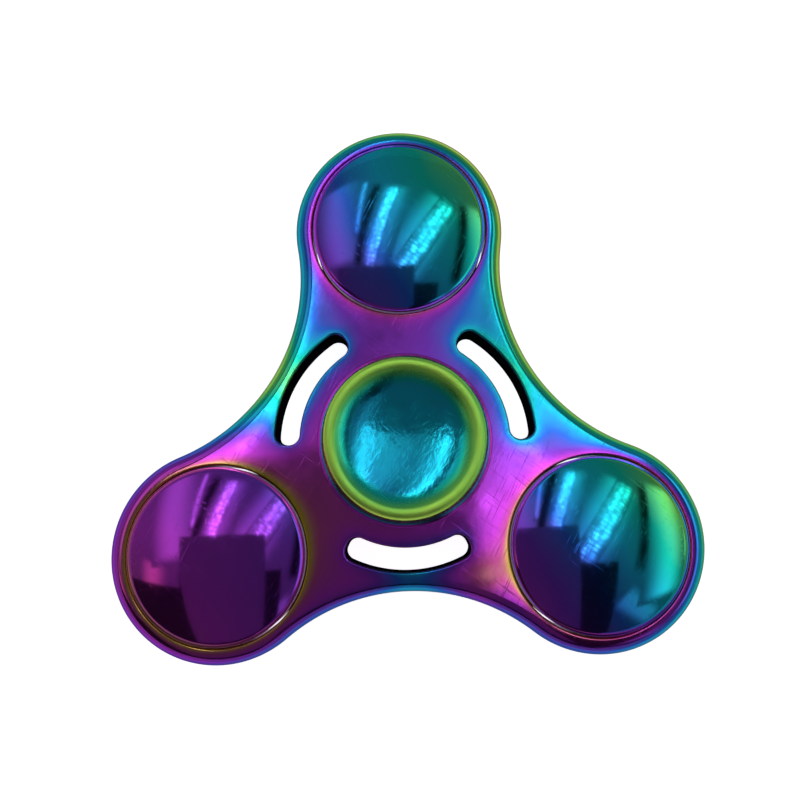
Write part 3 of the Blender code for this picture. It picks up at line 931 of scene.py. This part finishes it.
def build_floor():
    """Pale sweep: a flat disc that curves up into a low wall all round."""
    low = CAD_BOX[0].z / MM
    profile = [(0.0, low), (FLOOR_FLAT_RADIUS, low)]
    for i in range(1, 13):
        turn = QUARTER * i / 12
        radius = FLOOR_FLAT_RADIUS + FLOOR_CURVE * math.sin(turn)
        profile.append((radius, low + FLOOR_CURVE * (1.0 - math.cos(turn))))
    profile.append((FLOOR_FLAT_RADIUS + FLOOR_CURVE, low + FLOOR_WALL_TOP))
    shell = Shell()
    previous = None
    for radius, height in profile:
        ring = []
        for i in range(FLOOR_SEGMENTS if radius > 0.0 else 1):
            x, y = polar(radius, FULL * i / FLOOR_SEGMENTS)
            ring.append(shell.add_point((x, y, height), (0.0, 0.0, 1.0)))
        if previous:
            shell.bridge(ring, previous)
        previous = ring
    mesh = bpy.data.meshes.new('floor_sweep')
    mesh.from_pydata(shell.points, [], shell.faces)
    mesh.shade_smooth()
    mesh.materials.append(floor_material())
    floor = bpy.data.objects.new('floor_sweep', mesh)
    bpy.context.scene.collection.objects.link(floor)
    floor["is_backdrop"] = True


def sky_place(angles, height):
    """Point on the ceiling seen in a direction given as (x, y) degrees away from straight up."""
    off = math.radians(math.hypot(*angles))
    facing = math.atan2(angles[1], angles[0])
    return Vector((*polar(height * math.tan(off), facing), height))


def soft_edges(nodes, place, along_core, across_core):
    """1 inside a unit square, falling smoothly to 0 at its sides from the two core shares."""
    parts = nodes.node('ShaderNodeSeparateXYZ')
    nodes.feed(parts.inputs[0], place)
    shares = []
    for socket, core in ((parts.outputs['X'], along_core), (parts.outputs['Y'], across_core)):
        off = nodes.math('ABSOLUTE', nodes.math('MULTIPLY_ADD', socket, 2.0, -1.0))
        fall = nodes.node('ShaderNodeMapRange', interpolation_type='SMOOTHSTEP')
        for entry, value in zip(fall.inputs, (off, core, 1.0, 1.0, 0.0)):
            nodes.feed(entry, value)
        shares.append(fall.outputs['Result'])
    return nodes.math('MULTIPLY', *shares)


class LightNodes(Nodes):
    """The same short calls on a lamp's node tree."""

    def __init__(self, lamp):
        lamp.use_nodes = True
        self.tree = lamp.node_tree
        self.shader = self.tree.nodes['Emission']


def ceiling_light(name, start, end, width, radiance, colour=(1.0, 1.0, 1.0), dots=0, core=0.35):
    """Long soft light between two ceiling directions, facing down.

    core is the share of its width at full strength; dots is the number of separate lamps along it.
    """
    a = sky_place(start, CEILING_HEIGHT) * MM
    b = sky_place(end, CEILING_HEIGHT) * MM
    data = bpy.data.lights.new(name, 'AREA')
    data.shape = 'RECTANGLE'
    data.size = (b - a).length
    data.size_y = width * MM
    data.color = colour
    data.energy = radiance * math.pi * data.size * data.size_y
    nodes = LightNodes(data)
    flat = nodes.node('ShaderNodeNewGeometry').outputs['Parametric']
    strength = soft_edges(nodes, flat, 0.8, core)
    if dots:
        grid = nodes.node('ShaderNodeTexVoronoi')
        nodes.feed(grid.inputs['Vector'], nodes.vector('MULTIPLY', flat, (dots, 3.0, 0.0)))
        grid.inputs['Scale'].default_value = 1.0
        grid.inputs['Randomness'].default_value = 0.35
        spots = nodes.span(grid.outputs['Distance'], 0.15, 0.5, 2.6, 0.35)
        strength = nodes.math('MULTIPLY', strength, spots)
    nodes.feed(nodes.shader.inputs['Strength'], strength)
    lamp = bpy.data.objects.new(name, data)
    lamp.location = 0.5 * (a + b)
    lamp.rotation_euler = (0.0, 0.0, math.atan2(b.y - a.y, b.x - a.x))
    lamp.visible_camera = False
    bpy.context.scene.collection.objects.link(lamp)


def reflected_card(name, corners, material):
    """Flat card that only shows in reflections; its corners are in metres."""
    mesh = bpy.data.meshes.new(name)
    mesh.from_pydata(corners, [], [(0, 1, 2, 3)])
    unwrapped = mesh.uv_layers.new(name='card')
    for loop, spot in zip(unwrapped.data, ((0.0, 0.0), (1.0, 0.0), (1.0, 1.0), (0.0, 1.0))):
        loop.uv = spot
    mesh.materials.append(material)
    card = bpy.data.objects.new(name, mesh)
    card.visible_camera = False
    card.visible_shadow = False
    card.visible_diffuse = False
    bpy.context.scene.collection.objects.link(card)
    card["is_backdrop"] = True


def shade_panel(name, low, high, height, tone):
    """Card held level above the spinner, between two corners in millimetres."""
    corners = [(low[0], low[1]), (high[0], low[1]), (high[0], high[1]), (low[0], high[1])]
    places = [Vector((x, y, height)) * MM for x, y in corners]
    reflected_card(name, places, card_material(name, tone))


def ceiling_flag(name, start, end, width):
    """Long dark gap between two ceiling directions, just under the lights."""
    a = sky_place(start, FLAG_HEIGHT) * MM
    b = sky_place(end, FLAG_HEIGHT) * MM
    across = (b - a).cross(Vector((0.0, 0.0, 1.0))).normalized() * (0.5 * width * MM)
    places = [a - across, b - across, b + across, a + across]
    reflected_card(name, places, soft_gap_material(name + '_soft', 0.01))


def build_lights():
    """Two rows of lamps, side panels and the dark shapes between them, as the covers mirror them."""
    ceiling_light('strip_left', (-1.0, 41.0), (-18.0, -7.0), 300.0, 2.2, dots=22)
    ceiling_light('strip_left_glow', (1.0, 42.0), (-17.0, -8.0), 760.0, 0.45, core=0.0)
    ceiling_light('strip_right', (29.0, 31.0), (0.0, -11.0), 520.0, 1.6, dots=24, core=0.15)
    ceiling_light('strip_right_glow', (27.0, 33.0), (-2.0, -12.0), 1150.0, 0.7, core=0.0)
    ceiling_light('streak_left', (-17.0, 45.0), (-24.0, 12.0), 170.0, 1.1, core=0.0)
    ceiling_light('panel_left', (-33.0, 44.0), (-33.0, -6.0), 1700.0, 0.45, core=0.0)
    ceiling_light('panel_left_bright', (-28.0, 24.0), (-26.0, -4.0), 480.0, 2.0, core=0.0)
    ceiling_light('panel_right', (47.0, 30.0), (46.0, -32.0), 2100.0, 0.9, core=0.0)
    ceiling_light('window_right', (64.0, 18.0), (64.0, -18.0), 3600.0, 2.4, core=0.3)
    ceiling_light('panel_low_right', (22.0, -30.0), (40.0, -42.0), 900.0, 0.3, core=0.2)
    ceiling_light('wall_left', (-46.0, -4.0), (-46.0, -28.0), 1300.0, 0.5, (1.0, 0.72, 0.45), core=0.0)
    ceiling_flag('dark_gap_left', (-10.0, 44.0), (-25.0, -8.0), 300.0)
    ceiling_flag('dark_gap_right', (37.0, 33.0), (31.0, -20.0), 430.0)
    shade_panel('camera_card', (-75.0, -140.0), (15.0, 6.4), CARD_HEIGHT, 0.05)
    shade_panel('dark_flag', (-170.0, -900.0), (110.0, -62.0), SCREEN_HEIGHT, 0.004)
    shade_panel('dark_flag_left', (-520.0, -900.0), (-170.0, -105.0), SCREEN_HEIGHT, 0.004)


def build_world():
    """Dim room, darker on the side where the photographer stands."""
    world = bpy.data.worlds.new('soft_room')
    bpy.context.scene.world = world
    world.use_nodes = True
    tree = world.node_tree
    direction = tree.nodes.new('ShaderNodeTexCoord').outputs['Generated']
    parts = tree.nodes.new('ShaderNodeSeparateXYZ')
    depth = tree.nodes.new('ShaderNodeMapRange')
    tree.links.new(direction, parts.inputs[0])
    tree.links.new(parts.outputs['Y'], depth.inputs['Value'])
    for socket, number in zip(list(depth.inputs)[1:5], (-0.8, 0.2, 0.07, 0.19)):
        socket.default_value = number
    background = tree.nodes['Background']
    background.inputs['Color'].default_value = (0.95, 0.97, 1.0, 1.0)
    tree.links.new(depth.outputs['Result'], background.inputs['Strength'])


def build_camera():
    """The camera looks down on the front face from close above."""
    data = bpy.data.cameras.new('photo_camera')
    data.sensor_width = CAMERA_SENSOR
    data.lens = CAMERA_LENS
    data.shift_x, data.shift_y = CAMERA_SHIFT
    data.clip_start = 0.005
    camera = bpy.data.objects.new('photo_camera', data)
    camera.location = Vector(CAMERA_PLACE) * MM
    camera.rotation_euler = Euler([math.radians(turn) for turn in CAMERA_TURN_DEG])
    bpy.context.scene.collection.objects.link(camera)
    bpy.context.scene.camera = camera


def write_sizes():
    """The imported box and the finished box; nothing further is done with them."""
    boxes = [[list(corner) for corner in box] for box in (CAD_BOX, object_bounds())]


build_camera()
build_floor()
build_visible_pieces()
finish_hidden_pieces()
build_lights()
build_world()
bpy.context.scene.view_settings.view_transform = 'Standard'
write_sizes()
